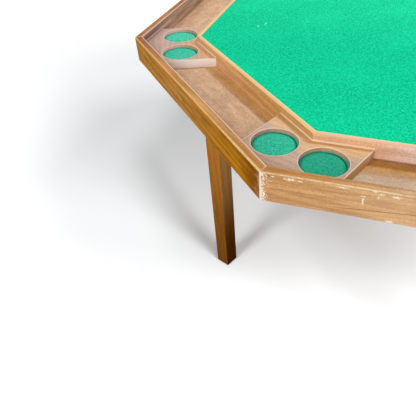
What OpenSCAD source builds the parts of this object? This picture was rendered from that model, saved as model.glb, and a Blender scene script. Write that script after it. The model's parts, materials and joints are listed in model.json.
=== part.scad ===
// Folding poker table: an eight-sided top with a felt playing surface, a chip trough
// all round it, a block with two cup holes in each corner, and four folding legs.
// Millimetres, +Z up. The origin is on the floor under the middle of the top, and the
// front side of the octagon faces -Y.

/* [Table] */
// Width of the top across its flats, outside the rail
table_w = 1320; // [1240:1:1450]
// Height of the rail's top edge above the floor
table_h = 722; // [690:1:780]

/* [Rail] */
// Thickness of a rail board
rail_t = 15; // [12:0.5:20]
// Height of a rail board
rail_h = 51; // [47:0.5:65]
// Radius worn on the rail's outer top edge
rail_round = 3; // [1:0.25:5]
// Radius on the rail's inner top edge
rail_ease = 1.5; // [0.5:0.25:3]

/* [Trough and curb] */
// Clear width of the trough between rail and curb
trough_w = 106.5; // [95:0.5:120]
// Depth of the trough's floor below the rail's top
trough_d = 36.5; // [30:0.5:40]
// Thickness of a curb board, which edges the playing surface
curb_t = 8; // [6:0.5:12]
// How far the curb's top lies below the rail's top
curb_drop = 5; // [1:0.5:8]
// Chamfer on the curb's outer top edge
curb_ease = 0.8; // [0.3:0.1:2]

/* [Cup blocks] */
// Width of a cup block, measured square to the corner's middle line
block_w = 178; // [172:1:210]
// Thickness of a cup block
block_t = 17.5; // [12:0.5:22]
// Radius of a cup hole
cup_r = 37.8; // [32:0.1:41]
// How far each cup hole lies beyond the middle of its half of the block
cup_shift = 0.35; // [0:0.05:2]
// How far the cup holes lie inward of the trough's middle line
cup_inset = 2; // [0:0.5:5]
// Depth of a cup hole, felt included
cup_depth = 8; // [7:0.25:10]
// Chamfer round the top of a cup hole
cup_chamfer = 0.8; // [0.3:0.1:2]
// Gap between a cup block and the boards beside it
block_fit = 0.3; // [0.1:0.05:0.6]

/* [Panels and felt] */
// Thickness of the base panel, whose top is the trough's floor
base_t = 9; // [6:0.5:12]
// Depth of the groove in the rail that holds the base panel
groove_d = 6; // [3:0.5:9]
// Thickness of the playing panel
play_t = 12.7; // [9:0.1:16]
// Thickness of the felt on the playing panel
felt_t = 2; // [1:0.25:4]
// How far the felt lies below the curb's top
felt_drop = 0.8; // [0:0.1:3]
// Thickness of the felt discs in the cup holes
cup_felt_t = 1.5; // [1:0.25:3]
// Width of the spacers between the two panels
spacer_w = 42; // [30:1:60]
// Gap left round the panels and the felt discs
panel_fit = 0.3; // [0.1:0.05:0.6]
// Thickness of a glue line between boards
glue_line = 0.1; // [0.05:0.05:0.3]

/* [Legs] */
// Distance of each leg's middle line from the rail's corner above it
leg_inset = 158.4; // [140:0.1:190]
// Width of a leg inside its bracket
leg_w = 44; // [43:0.5:50]
// Width of a leg at the foot
foot_w = 42; // [34:0.5:43]
// Height above the floor at which the leg begins to taper
taper_z = 560; // [300:10:570]
// Height of the glide under a leg
glide_h = 2.5; // [1.5:0.5:6]
// Radius of the glide under a leg
glide_r = 11; // [8:0.5:15]

/* [Battens] */
// Width of a batten under the base panel
batten_w = 70; // [60:1:90]
// Thickness of a batten
batten_t = 19; // [15:0.5:25]
// How far a batten runs on past its leg's middle line
batten_tail = 60; // [50:1:75]

/* [Leg brackets] */
// Thickness of the bracket's sheet steel
sheet_t = 2.5; // [2:0.25:4]
// Gap between the leg and each cheek of its bracket
cheek_fit = 0.4; // [0.3:0.05:0.8]
// Space between the leg's rounded shoulder and the bracket as the leg turns
shoulder_gap = 2; // [1:0.25:4]
// Gap over the leg's square shoulder, which stops against the bracket
stop_gap = 0.3; // [0.1:0.05:0.5]
// Radius of the curved slot that the clamp bolt slides in
slot_r = 30; // [28:0.5:36]
// Metal left round the bolt at each end of the slot and round the hinge bolt
lug_r = 14; // [12:0.5:16]
// Radius of the hinge bolt and of the clamp bolt
bolt_r = 4; // [3:0.5:5]
// Radius of the wing nut across its wings
wing_r = 18; // [15:0.5:20]

/* [Hidden] */
$fn = 64;
SIDES = ["front", "front_right", "right", "back_right", "back", "back_left", "left", "front_left"];
SIDE_COUNT = 8;
LEG_COUNT = 4;

// Angles: a side's outward direction, a corner's middle line, a leg's place and fold
half_side = 180 / SIDE_COUNT;
function side_angle(i) = -90 + i * 360 / SIDE_COUNT;
function corner_angle(i) = side_angle(i) + half_side;
function leg_angle(n) = -90 + half_side + n * 360 / LEG_COUNT;
function fold_angle(n) = leg_angle(n) + 135;

// Distances from the middle of the table to the boards' faces, square to a side
rail_out = table_w / 2;
rail_in = rail_out - rail_t;
curb_out = rail_in - trough_w;
curb_in = curb_out - curb_t;
play_edge = curb_in - panel_fit;

// Heights above the floor
rail_z = table_h - rail_h;
floor_z = table_h - trough_d;
base_z = floor_z - base_t;
curb_top = table_h - curb_drop;
felt_top = curb_top - felt_drop;
play_top = felt_top - felt_t;
play_z = play_top - play_t;
batten_z = base_z - glue_line - batten_t;
plate_z = batten_z - sheet_t;
pivot_z = plate_z - leg_w / 2 - shoulder_gap;
clamp_z = pivot_z - slot_r;

// Cup holes: their seat, and their place on a corner's middle line and to its side
cup_seat = floor_z + block_t - cup_depth;
cup_v = block_w / 4 + cup_shift;
trough_mid = (rail_in + curb_out) / 2;
cup_u = trough_mid / cos(half_side) - cup_v * tan(half_side) - cup_inset / cos(half_side);

// Spacers between the panels
spacer_inset = 5;
spacer_out = play_edge - spacer_inset;
spacer_in = spacer_out - spacer_w;

// Leg places: on the middle lines of every other corner
leg_circle_r = rail_out / cos(half_side) - leg_inset;
station_pitch = leg_circle_r * sqrt(2);

// Bracket sizes, along the fold (x) and across it (y), from the leg's middle line
cheek_in = leg_w / 2 + cheek_fit;
cheek_out = cheek_in + sheet_t;
head_drop = plate_z - pivot_z;
slot_clear = 0.3;
slot_half = bolt_r + slot_clear;
slot_over = asin(slot_half / slot_r);
cheek_r = slot_r + lug_r;
bend_inner_r = 1;
bend_r = sheet_t + bend_inner_r;
plate_end = 11;
hole_past_leg = 11;
hole_past_cheek = 18;
hole_in_from_cheek = 9;
plate_hole_tail = leg_w / 2 + hole_past_leg;
plate_hole_nose = cheek_r + hole_past_cheek;
plate_hole_y = cheek_in - hole_in_from_cheek;
plate_tail = plate_hole_tail + plate_end;
plate_nose = plate_hole_nose + plate_end;

// Bolts, nuts and washer
running_fit = 0.05;
slide_gap = 0.3;
bolt_clear = 0.1;
hex_r = 1.88 * bolt_r;
hex_head_h = 1.3 * bolt_r;
lock_nut_h = 2 * bolt_r;
thread_past_nut = 2;
dome_r = 2.4 * bolt_r;
dome_h = 1.1 * bolt_r;
washer_r = 2.3 * bolt_r;
washer_t = 1.6;
nut_seat = cheek_out + slide_gap + washer_t + 0.2;
wing_hub_h = 2.4 * bolt_r;
wing_t = 2.6;
wing_ear_r = 6.5;

// Wood screws
screw_r = 2;
screw_head_r = 4;
pilot_clear = 0.1;
pilot_past = 0.3;
screw_cover = 2.5;
bracket_screw_l = 20;
batten_screw_l = batten_t + glue_line + base_t - screw_cover;
panel_screw_l = base_t + (play_z - floor_z) + play_t - screw_cover;
glide_pin_r = 1.5;
glide_pin_l = 16;

// Battens: each one ends against the side of the next
batten_end = station_pitch - batten_w / 2 - glue_line;
batten_screw_count = 4;
batten_screw_margin = 55;
batten_screw_from = plate_nose + batten_screw_margin;
batten_screw_to = batten_end - batten_screw_margin;

// Shapes shared by several pieces

// A prism over an octagon, ap from its middle to each flat
module octagon(ap, h) {
    linear_extrude(height = h)
        polygon([for (i = [0 : SIDE_COUNT - 1])
            ap / cos(half_side) * [cos(corner_angle(i)), sin(corner_angle(i))]]);
}

// A board along one side, its profile given in (distance, height), mitred at both ends
module side_board(i) {
    reach = 2 * table_w;
    rotate([0, 0, side_angle(i)])
        intersection() {
            rotate([90, 0, 0])
                linear_extrude(height = reach, center = true)
                    children();
            linear_extrude(height = table_h + 1)
                polygon([[0, 0], [reach, -reach * tan(half_side)], [reach, reach * tan(half_side)]]);
        }
}

// What a rounded edge of radius r takes off the corner at the origin, towards +x and +y
module edge_round(r) {
    translate([-r, -r])
        difference() {
            square(r + 1);
            circle(r = r);
        }
}

// A countersunk wood screw, its head's face at z = 0 and its point upwards
module wood_screw(l) {
    cylinder(h = screw_head_r - screw_r, r1 = screw_head_r, r2 = screw_r);
    cylinder(h = l - screw_r, r = screw_r);
    translate([0, 0, l - screw_r])
        cylinder(h = screw_r, r1 = screw_r, r2 = 0.4);
}

// The hole for such a screw
module screw_hole(l) {
    c = pilot_clear;
    translate([0, 0, -0.01])
        cylinder(h = screw_head_r - screw_r + c, r1 = screw_head_r + c, r2 = screw_r);
    translate([0, 0, -0.01])
        cylinder(h = l + pilot_past, r = screw_r + c);
}

// Puts its children at leg n, with x along the way the leg folds
module at_leg(n) {
    rotate([0, 0, leg_angle(n)])
        translate([leg_circle_r, 0, 0])
            rotate([0, 0, fold_angle(n) - leg_angle(n)])
                children();
}

// A flat shape in (x, z), extruded across the fold from y = from to y = to
module across(from, to) {
    translate([0, to, 0])
        rotate([90, 0, 0])
            linear_extrude(height = to - from)
                children();
}

// A round bar across the fold at height z
module bar_across(x, z, r, from, to) {
    translate([x, from, z])
        rotate([-90, 0, 0])
            cylinder(h = to - from, r = r);
}

// Places of the screws
module at_bracket_screws() {
    for (x = [-plate_hole_tail, plate_hole_nose], y = [-plate_hole_y, plate_hole_y])
        translate([x, y, plate_z])
            children();
}

module at_batten_screws() {
    step = (batten_screw_to - batten_screw_from) / (batten_screw_count - 1);
    for (j = [0 : batten_screw_count - 1])
        translate([batten_screw_from + j * step, 0, batten_z])
            children();
}

module at_panel_screws() {
    for (i = [0 : SIDE_COUNT - 1])
        rotate([0, 0, side_angle(i)])
            translate([(spacer_in + spacer_out) / 2, 0, base_z])
                children();
}

// The top

// Outer rail board, grooved inside for the base panel
module rail(i) {
    color([0.60, 0.38, 0.20])
        side_board(i)
            difference() {
                translate([rail_in, rail_z])
                    square([rail_t, rail_h]);
                translate([rail_out, table_h])
                    edge_round(rail_round);
                translate([rail_in, table_h])
                    mirror([1, 0])
                        edge_round(rail_ease);
                translate([rail_in - 1, base_z])
                    square([groove_d + 1, base_t + glue_line]);
            }
}

// Curb board, which walls the trough and edges the playing surface
module curb(i) {
    color([0.68, 0.42, 0.22])
        side_board(i)
            polygon([
                [curb_in, floor_z],
                [curb_out, floor_z],
                [curb_out, curb_top - curb_ease],
                [curb_out - curb_ease, curb_top],
                [curb_in, curb_top]
            ]);
}

// Corner block, pointed against the rails and notched round the curb's corner
module cup_block(i) {
    v = block_w / 2;
    back = v * tan(half_side);
    inner = (curb_out + block_fit) / cos(half_side);
    outer = (rail_in - block_fit) / cos(half_side);
    color([0.66, 0.46, 0.31])
        rotate([0, 0, corner_angle(i)])
            difference() {
                translate([0, 0, floor_z])
                    linear_extrude(height = block_t)
                        polygon([
                            [inner - back, -v],
                            [outer - back, -v],
                            [outer, 0],
                            [outer - back, v],
                            [inner - back, v],
                            [inner, 0]
                        ]);
                for (side = [-1, 1])
                    translate([cup_u, side * cup_v, cup_seat]) {
                        cylinder(h = cup_depth + 1, r = cup_r);
                        translate([0, 0, cup_depth - cup_chamfer])
                            cylinder(h = cup_chamfer + 0.01, r1 = cup_r, r2 = cup_r + cup_chamfer + 0.01);
                    }
            }
}

// Green discs in the bottoms of the cup holes
module cup_felts() {
    color([0.10, 0.55, 0.36])
        for (i = [0 : SIDE_COUNT - 1], side = [-1, 1])
            rotate([0, 0, corner_angle(i)])
                translate([cup_u, side * cup_v, cup_seat])
                    cylinder(h = cup_felt_t, r = cup_r - panel_fit);
}

// Plywood panel in the rail's groove: the trough's floor and the top's underside
module base_panel() {
    color([0.70, 0.50, 0.32])
        difference() {
            translate([0, 0, base_z])
                octagon(rail_in + groove_d - panel_fit, base_t);
            at_panel_screws()
                screw_hole(base_t);
            for (n = [0 : LEG_COUNT - 1])
                at_leg(n)
                    at_batten_screws()
                        cylinder(h = batten_screw_l + pilot_past, r = screw_r + pilot_clear);
        }
}

// Raised panel inside the curb, under the felt
module play_panel() {
    color([0.80, 0.66, 0.46])
        difference() {
            translate([0, 0, play_z])
                octagon(play_edge, play_t);
            at_panel_screws()
                cylinder(h = panel_screw_l + pilot_past, r = screw_r + pilot_clear);
        }
}

// Felt laid on the playing panel
module felt() {
    color([0.05, 0.62, 0.30])
        translate([0, 0, play_top])
            octagon(play_edge, felt_t);
}

// Spacers between the panels: one along each side, and a cross in the middle
module panel_spacers() {
    h = play_z - floor_z - glue_line;
    ring_l = 2 * (spacer_in * tan(half_side) - panel_fit);
    long_l = spacer_in - panel_fit;
    short_l = long_l - spacer_w / 2 - panel_fit;
    color([0.78, 0.62, 0.42])
        difference() {
            union() {
                for (i = [0 : SIDE_COUNT - 1])
                    rotate([0, 0, side_angle(i)])
                        translate([spacer_in, -ring_l / 2, floor_z])
                            cube([spacer_w, ring_l, h]);
                translate([-long_l, -spacer_w / 2, floor_z])
                    cube([2 * long_l, spacer_w, h]);
                for (turn = [90, 270])
                    rotate([0, 0, turn])
                        translate([long_l - short_l, -spacer_w / 2, floor_z])
                            cube([short_l, spacer_w, h]);
            }
            at_panel_screws()
                cylinder(h = panel_screw_l, r = screw_r + pilot_clear);
        }
}

// Screws through the base panel into the playing panel, and from the battens upwards
module panel_screws() {
    color([0.72, 0.70, 0.62]) {
        at_panel_screws()
            wood_screw(panel_screw_l);
        for (n = [0 : LEG_COUNT - 1])
            at_leg(n)
                at_batten_screws()
                    wood_screw(batten_screw_l);
    }
}

// Batten under the base panel, which carries leg n and meets the next one squarely
module batten(n) {
    color([0.58, 0.38, 0.22])
        at_leg(n)
            difference() {
                translate([-batten_tail, -batten_w / 2, batten_z])
                    cube([batten_tail + batten_end, batten_w, batten_t]);
                at_batten_screws()
                    screw_hole(batten_t);
                at_bracket_screws()
                    cylinder(h = bracket_screw_l + pilot_past, r = screw_r + pilot_clear);
            }
}

// The leg brackets

// One cheek's outline in (x, z): a strip above the hinge bolt and a quadrant below it
module cheek_outline() {
    translate([-lug_r, pivot_z])
        square([lug_r + cheek_r, head_drop + sheet_t]);
    translate([-lug_r, clamp_z])
        square([lug_r, slot_r]);
    translate([0, clamp_z])
        circle(r = lug_r);
    translate([0, pivot_z])
        intersection() {
            circle(r = cheek_r);
            translate([0, -cheek_r])
                square(cheek_r);
        }
}

// The sheet's section in (y, z): a channel with rounded bends, open downwards
module channel_section() {
    h = head_drop + sheet_t + cheek_r + 1;
    difference() {
        translate([-cheek_out, plate_z + sheet_t - h])
            square([2 * cheek_out, h]);
        for (side = [0, 1])
            mirror([side, 0])
                translate([cheek_out, plate_z + sheet_t])
                    edge_round(bend_r);
        difference() {
            translate([-cheek_in, plate_z - h])
                square([2 * cheek_in, h]);
            for (side = [0, 1])
                mirror([side, 0])
                    translate([cheek_in, plate_z])
                        edge_round(bend_r - sheet_t);
        }
    }
}

// The slot's path round the hinge bolt, from straight below it to straight beside it,
// and on at each end by the half width of the bolt's square neck
module curved_slot() {
    depth = 2 * cheek_out + 2;
    from = -90 - slot_over;
    to = slot_over;
    translate([0, depth / 2, pivot_z])
        rotate([90, 0, 0]) {
            rotate([0, 0, from])
                rotate_extrude(angle = to - from)
                    translate([slot_r - slot_half, 0])
                        square([2 * slot_half, depth]);
            for (a = [from, to])
                rotate([0, 0, a])
                    translate([slot_r, 0, 0])
                        cylinder(h = depth, r = slot_half);
        }
}

// Folded steel bracket: a plate under the batten and two slotted quadrant cheeks
module bracket(n) {
    color([0.66, 0.64, 0.58])
        at_leg(n)
            difference() {
                intersection() {
                    translate([-plate_tail, 0, 0])
                        rotate([90, 0, 90])
                            linear_extrude(height = plate_tail + plate_nose)
                                channel_section();
                    union() {
                        across(-cheek_out, cheek_out)
                            cheek_outline();
                        across(-cheek_out, cheek_out)
                            translate([-plate_tail, plate_z])
                                square([plate_tail + plate_nose, sheet_t]);
                    }
                }
                at_bracket_screws()
                    screw_hole(sheet_t);
                bar_across(0, pivot_z, bolt_r + bolt_clear, -cheek_out - 1, cheek_out + 1);
                curved_slot();
            }
}

// Screws that hold the brackets to the battens
module bracket_screws() {
    color([0.72, 0.70, 0.62])
        for (n = [0 : LEG_COUNT - 1])
            at_leg(n)
                at_bracket_screws()
                    wood_screw(bracket_screw_l);
}

// Hinge bolt through both cheeks, with its lock nut
module hinge_bolt(n) {
    nut_end = cheek_out + lock_nut_h;
    color([0.74, 0.72, 0.64])
        at_leg(n)
            translate([0, 0, pivot_z])
                rotate([-90, 0, 0]) {
                    translate([0, 0, -cheek_out - hex_head_h])
                        cylinder(h = hex_head_h, r = hex_r, $fn = 6);
                    translate([0, 0, -cheek_out])
                        cylinder(h = nut_end + cheek_out + thread_past_nut, r = bolt_r);
                    translate([0, 0, cheek_out])
                        difference() {
                            cylinder(h = lock_nut_h, r = hex_r, $fn = 6);
                            translate([0, 0, -1])
                                cylinder(h = lock_nut_h + 2, r = bolt_r + running_fit);
                        }
                }
}

// The legs

// A leg's face up to height top, parallel inside the bracket and narrower at the foot
module leg_face(top) {
    polygon([
        [-foot_w / 2, glide_h],
        [foot_w / 2, glide_h],
        [leg_w / 2, taper_z],
        [leg_w / 2, top],
        [-leg_w / 2, top],
        [-leg_w / 2, taper_z]
    ]);
}

// Leg: square, with one square shoulder that stops it and one round one that lets it turn
module leg(n) {
    shoulder_r = head_drop - stop_gap;
    top = pivot_z + shoulder_r;
    color([0.50, 0.29, 0.12])
        at_leg(n)
            difference() {
                intersection() {
                    across(-leg_w, leg_w)
                        leg_face(top);
                    rotate([0, 0, 90])
                        across(-leg_w, leg_w)
                            leg_face(top);
                }
                across(-leg_w, leg_w)
                    translate([0, pivot_z])
                        difference() {
                            square([leg_w, leg_w]);
                            circle(r = shoulder_r);
                        }
                bar_across(0, pivot_z, bolt_r + running_fit, -leg_w, leg_w);
                bar_across(0, clamp_z, bolt_r + bolt_clear, -leg_w, leg_w);
                translate([0, 0, glide_h - 1])
                    cylinder(h = glide_pin_l + pilot_past + 1, r = glide_pin_r + pilot_clear);
            }
}

// Round steel glide with its pin, driven into the foot of a leg
module glide(n) {
    rim = glide_h / 2;
    color([0.70, 0.69, 0.66])
        at_leg(n) {
            cylinder(h = rim, r1 = glide_r - rim, r2 = glide_r);
            translate([0, 0, rim])
                cylinder(h = glide_h - rim, r = glide_r);
            translate([0, 0, rim])
                cylinder(h = glide_pin_l + rim, r = glide_pin_r);
        }
}

// Coach bolt through the leg and both curved slots, with a washer under the wing nut
module clamp_bolt(n) {
    dome_y = cheek_out + slide_gap;
    dome_sphere = (dome_r * dome_r + dome_h * dome_h) / (2 * dome_h);
    bolt_end = nut_seat + wing_hub_h + 2 * thread_past_nut;
    neck_w = 2 * bolt_r;
    neck_l = slide_gap + sheet_t + cheek_fit / 2;
    color([0.74, 0.72, 0.64])
        at_leg(n)
            translate([0, 0, clamp_z])
                rotate([-90, 0, 0]) {
                    intersection() {
                        translate([0, 0, dome_sphere - dome_h - dome_y])
                            sphere(r = dome_sphere);
                        translate([0, 0, -dome_y - dome_h])
                            cylinder(h = dome_h, r = dome_r);
                    }
                    translate([-neck_w / 2, -neck_w / 2, -dome_y])
                        cube([neck_w, neck_w, neck_l]);
                    translate([0, 0, -dome_y])
                        cylinder(h = dome_y + bolt_end, r = bolt_r);
                    translate([0, 0, cheek_out + slide_gap])
                        difference() {
                            cylinder(h = washer_t, r = washer_r);
                            translate([0, 0, -1])
                                cylinder(h = washer_t + 2, r = bolt_r + bolt_clear);
                        }
                }
}

// One wing in (x, z): a round ear on a web that rises from the hub
module wing_outline() {
    ear_x = wing_r - wing_ear_r;
    ear_z = wing_hub_h + 1.5;
    translate([ear_x, ear_z])
        circle(r = wing_ear_r);
    polygon([
        [bolt_r + 1, 1],
        [bolt_r + 3, 1],
        [ear_x + wing_ear_r * cos(-50), ear_z + wing_ear_r * sin(-50)],
        [ear_x + wing_ear_r * cos(140), ear_z + wing_ear_r * sin(140)],
        [bolt_r + 1, wing_hub_h - 1]
    ]);
}

// Wing nut on the clamp bolt
module wing_nut(n) {
    color([0.78, 0.75, 0.66])
        at_leg(n)
            translate([0, nut_seat, clamp_z])
                rotate([-90, 0, 0])
                    difference() {
                        union() {
                            cylinder(h = wing_hub_h, r1 = bolt_r + 4, r2 = bolt_r + 2.4);
                            for (turn = [0, 180])
                                rotate([0, 0, turn])
                                    across(-wing_t / 2, wing_t / 2)
                                        wing_outline();
                        }
                        translate([0, 0, -1])
                            cylinder(h = 3 * wing_hub_h, r = bolt_r + running_fit);
                    }
}

for (i = [0 : SIDE_COUNT - 1]) {
    rail(i);
    curb(i);
    cup_block(i);
}
base_panel();
play_panel();
felt();
cup_felts();
panel_spacers();
panel_screws();
bracket_screws();
for (n = [0 : LEG_COUNT - 1]) {
    batten(n);
    bracket(n);
    hinge_bolt(n);
    leg(n);
    glide(n);
    clamp_bolt(n);
    wing_nut(n);
}
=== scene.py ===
# %% [markdown]
# # A folding card table with eight sides
# This file dresses a table that was drawn in a CAD program. The CAD parts arrive as a fixed frame:
# they give every place and size, and they are never moved. What this file adds is what the eye
# meets first: wood grain that follows each board, worn edges, a felt field with a nap, plated
# bolts with threads, and light. Nothing is read from disk but that frame.

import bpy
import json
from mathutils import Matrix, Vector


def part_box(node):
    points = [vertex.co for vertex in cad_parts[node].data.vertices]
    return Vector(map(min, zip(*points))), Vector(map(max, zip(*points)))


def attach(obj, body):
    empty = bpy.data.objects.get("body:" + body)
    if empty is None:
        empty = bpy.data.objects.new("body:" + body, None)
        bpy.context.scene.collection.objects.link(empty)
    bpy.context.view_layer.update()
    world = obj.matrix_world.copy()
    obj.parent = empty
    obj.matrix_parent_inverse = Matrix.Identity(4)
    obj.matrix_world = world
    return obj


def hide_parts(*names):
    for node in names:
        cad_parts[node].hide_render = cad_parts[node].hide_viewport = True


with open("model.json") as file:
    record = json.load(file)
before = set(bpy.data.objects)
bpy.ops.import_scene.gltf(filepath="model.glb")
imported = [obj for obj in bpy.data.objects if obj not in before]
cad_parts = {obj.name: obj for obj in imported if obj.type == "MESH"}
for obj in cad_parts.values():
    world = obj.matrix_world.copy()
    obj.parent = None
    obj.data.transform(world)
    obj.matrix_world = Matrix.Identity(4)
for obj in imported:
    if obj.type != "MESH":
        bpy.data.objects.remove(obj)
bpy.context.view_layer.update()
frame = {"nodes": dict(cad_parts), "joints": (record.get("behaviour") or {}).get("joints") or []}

# %% Tools for the whole file
import json
import math
from functools import reduce

import bmesh
import bpy
from mathutils import Matrix, Vector

MM = 0.001
SIDES = ["front", "front_right", "right", "back_right", "back", "back_left", "left", "front_left"]
FRONT, GREY, AMBER = 0, 6, 7  # the boards with looks of their own, by their places in SIDES
HALF = math.radians(22.5)
TAN, COS = math.tan(HALF), math.cos(HALF)


def put(name, data):
    """A new object in the scene."""
    made = bpy.data.objects.new(name, data)
    bpy.context.scene.collection.objects.link(made)
    return made


def scaled(colour, by):
    return tuple(c * by for c in colour)


def numbered(stem, count):
    return [f"{stem}_{k + 1}" for k in range(count)]


print("sides", len(SIDES))

# %% [markdown]
# ## Sizes
# A model that is dressed by eye drifts away from the part under it. So each distance below is
# measured on the frame's own boards. The right-hand side of the table faces +X, which makes its
# boards easy to measure: their smallest and largest X are the distances from the middle.

# %% Measure the boards
(rail_in, _, rail_z), (rail_out, _, rail_top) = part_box("rail_right")
(curb_in, _, floor_z), (curb_out, _, curb_top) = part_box("curb_right")
(_, _, base_z), (panel_out, _, _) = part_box("base_panel")
(_, _, play_top), (felt_out, _, felt_top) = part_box("felt")
block_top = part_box("cup_block_1")[1][2]
spin = Matrix.Rotation(HALF, 3, "Z")  # lays the middle line of the second corner along +X
block_v = max((spin @ v.co).y for v in frame["nodes"]["cup_block_2"].data.vertices)
print("rail", round(rail_in, 4), round(rail_out, 4), "trough floor", round(floor_z, 4))

# %% [markdown]
# ## The camera
# The photograph looks down on one quarter of the table, so a camera was fitted to it beforehand:
# its place, its three turns and its focal length make the corners of the rail and of the felt
# fall where the photograph has them. The picture was cropped off its centre, and a small lens
# shift stands for that.

# %% Camera
PICTURE = 416
FOCAL = 467.03
MIDDLE = (256.49, 209.79)
EYE = (-0.1308, -1.1491, 1.1070)
TURNS = [(-1.001, "Z"), (90 - 41.765, "X"), (16.824, "Z")]  # its roll, its tilt and its azimuth

lens = bpy.data.cameras.new("camera")
lens.sensor_width = 36
lens.lens = 36 * FOCAL / PICTURE
lens.shift_x = (PICTURE / 2 - MIDDLE[0]) / PICTURE
lens.shift_y = (MIDDLE[1] - PICTURE / 2) / PICTURE
lens.clip_start, lens.clip_end = 0.05, 60
camera = put("camera", lens)
turns = [Matrix.Rotation(math.radians(angle), 4, axis) for angle, axis in TURNS]
camera.matrix_world = Matrix.Translation(EYE) @ turns[2] @ turns[1] @ turns[0]
bpy.context.scene.camera = camera
bpy.context.scene.view_settings.view_transform = "Standard"
print("lens", round(lens.lens, 2), "mm, shift", round(lens.shift_x, 4), round(lens.shift_y, 4))

# %% [markdown]
# ## A hand for wiring nodes
# Materials, the world and Geometry Nodes are all node trees, and wiring them by hand takes three
# lines for every node. This small class makes one node in one line and gives back its output, so
# that a tree reads like a sum. It is a helper and nothing more: every node is still Blender's own.

# %% Net
IGNORE = 1e6  # a reach so long that its axis has no say in a distance


class Net:
    """Makes nodes in one tree. An input is given by its name or number, as a value or as a link."""

    def __init__(self, tree):
        self.tree = tree

    def add(self, kind, inputs=None, out=0, **settings):
        node = self.tree.nodes.new(kind)
        for name, value in settings.items():
            setattr(node, name, value)
        for name, value in (inputs or {}).items():
            socket = node.inputs[name]
            if isinstance(value, bpy.types.NodeSocket):
                self.tree.links.new(value, socket)
            else:
                socket.default_value = value
        return node.outputs[out]

    def end(self, kind, value):
        self.tree.links.new(value, self.tree.nodes.new(kind).inputs[0])

    def math(self, how, *values):
        return reduce(lambda a, b: self.add("ShaderNodeMath", {0: a, 1: b}, operation=how), values)

    def times(self, *values):
        return self.math("MULTIPLY", *values)

    def plus(self, *values):
        return self.math("ADD", *values)

    def minus(self, a, b):
        return self.math("SUBTRACT", a, b)

    def most(self, *values):
        return self.math("MAXIMUM", *values)

    def size(self, value):
        return self.math("ABSOLUTE", value, 0.0)

    def vector(self, how, a, b=(0.0, 0.0, 0.0)):
        if how == "SCALE":
            return self.add("ShaderNodeVectorMath", {0: a, "Scale": b}, operation=how)
        out = "Value" if how in ("LENGTH", "DOT_PRODUCT") else "Vector"
        return self.add("ShaderNodeVectorMath", {0: a, 1: b}, out, operation=how)

    def away(self, where, spot, reach):
        """Distance from spot, counted in reach along each axis."""
        return self.vector("LENGTH", self.vector("DIVIDE", self.vector("SUBTRACT", where, spot), reach))

    def fade(self, value, start, end, low=0.0, high=1.0):
        """low where value is at start, high where it is at end, and smooth between."""
        return self.add("ShaderNodeMapRange", {"Value": value, "From Min": start, "From Max": end,
                                               "To Min": low, "To Max": high},
                        interpolation_type="SMOOTHSTEP")

    def pick(self, on, no, yes):
        return self.fade(on, 0.0, 1.0, no, yes)

    def mm_fade(self, value, base, start, end):
        """A fade whose start and end are millimetres past base."""
        return self.fade(value, base + start * MM, base + end * MM)

    def near(self, value, middle, reach):
        """1 where value is at middle, and 0 from a distance of reach."""
        return self.fade(self.size(self.minus(value, middle)), reach, reach * 0.3)

    def only(self, value, number):
        return self.near(value, number, 0.4)

    def noise(self, where, scale, detail=2.0, roughness=0.5, stretch=None, distortion=0.0):
        if stretch:
            where = self.vector("MULTIPLY", where, stretch)
        return self.add("ShaderNodeTexNoise", {"Vector": where, "Scale": scale, "Detail": detail,
                                               "Roughness": roughness, "Distortion": distortion})

    def chance(self, value):
        return self.add("ShaderNodeTexWhiteNoise", {"W": value}, "Value", noise_dimensions="1D")

    def colour(self, amount, a, b, how="MIX"):
        """Colour a turning into b by amount."""
        a, b = ((*c, 1.0) if isinstance(c, tuple) else c for c in (a, b))
        return self.add("ShaderNodeMix", {0: amount, 6: a, 7: b}, 2, data_type="RGBA", blend_type=how)

    def tint(self, colour, by, amount=1.0):
        """The colour times another one, by amount."""
        return self.colour(amount, colour, by, "MULTIPLY")

    def over(self, colour, then, *amounts):
        """Another colour laid over the first, by the product of the amounts."""
        return self.colour(self.times(*amounts), colour, then)

    def along(self, value, colour, *steps):
        """A colour that changes along value. A step says from where to where it turns into what."""
        for start, end, then in steps:
            colour = self.colour(self.fade(value, start, end), colour, then)
        return colour

    def parts(self, vector):
        node = self.tree.nodes.new("ShaderNodeSeparateXYZ")
        self.tree.links.new(vector, node.inputs[0])
        return list(node.outputs)

    def attribute(self, name, out="Fac"):
        return self.add("ShaderNodeAttribute", out=out, attribute_name=name)


def material(name):
    """A new material with only its output, and the net to fill it with."""
    made = bpy.data.materials.new(name)
    made.use_nodes = True
    made.node_tree.nodes.clear()
    return made, Net(made.node_tree)


def surface(net, colour, roughness, bump, depth, strength, **plain):
    """Ends a material with a Principled shader. What is plain sits directly on its sockets."""
    inputs = {"Base Color": colour, "Roughness": roughness}
    inputs.update({name.replace("_", " "): value for name, value in plain.items()})
    inputs["Normal"] = net.add("ShaderNodeBump", {
        "Height": bump, "Distance": depth, "Strength": strength})
    net.end("ShaderNodeOutputMaterial", net.add("ShaderNodeBsdfPrincipled", inputs))


print("Net is ready")

# %% [markdown]
# ## Floor, world and lamps
# The photograph stands on plain white, with a broad grey shadow under the top that runs out to the
# left. Seven lamps share the work. Four suns light the floor alone, three from the front right and
# one from the front left: together they turn the open floor white and lay that broad shadow. The
# key shines on the table alone, from behind on the right, and its crisp shadow of the curb is the
# brown band in the trough. A wide sun from the front fills the faces that look at us. The last
# lamp is a small spot: the photograph's near right corner is plain white, although a leg stands
# just outside it, and the spot takes that leg's shadow off the floor there.

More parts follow.
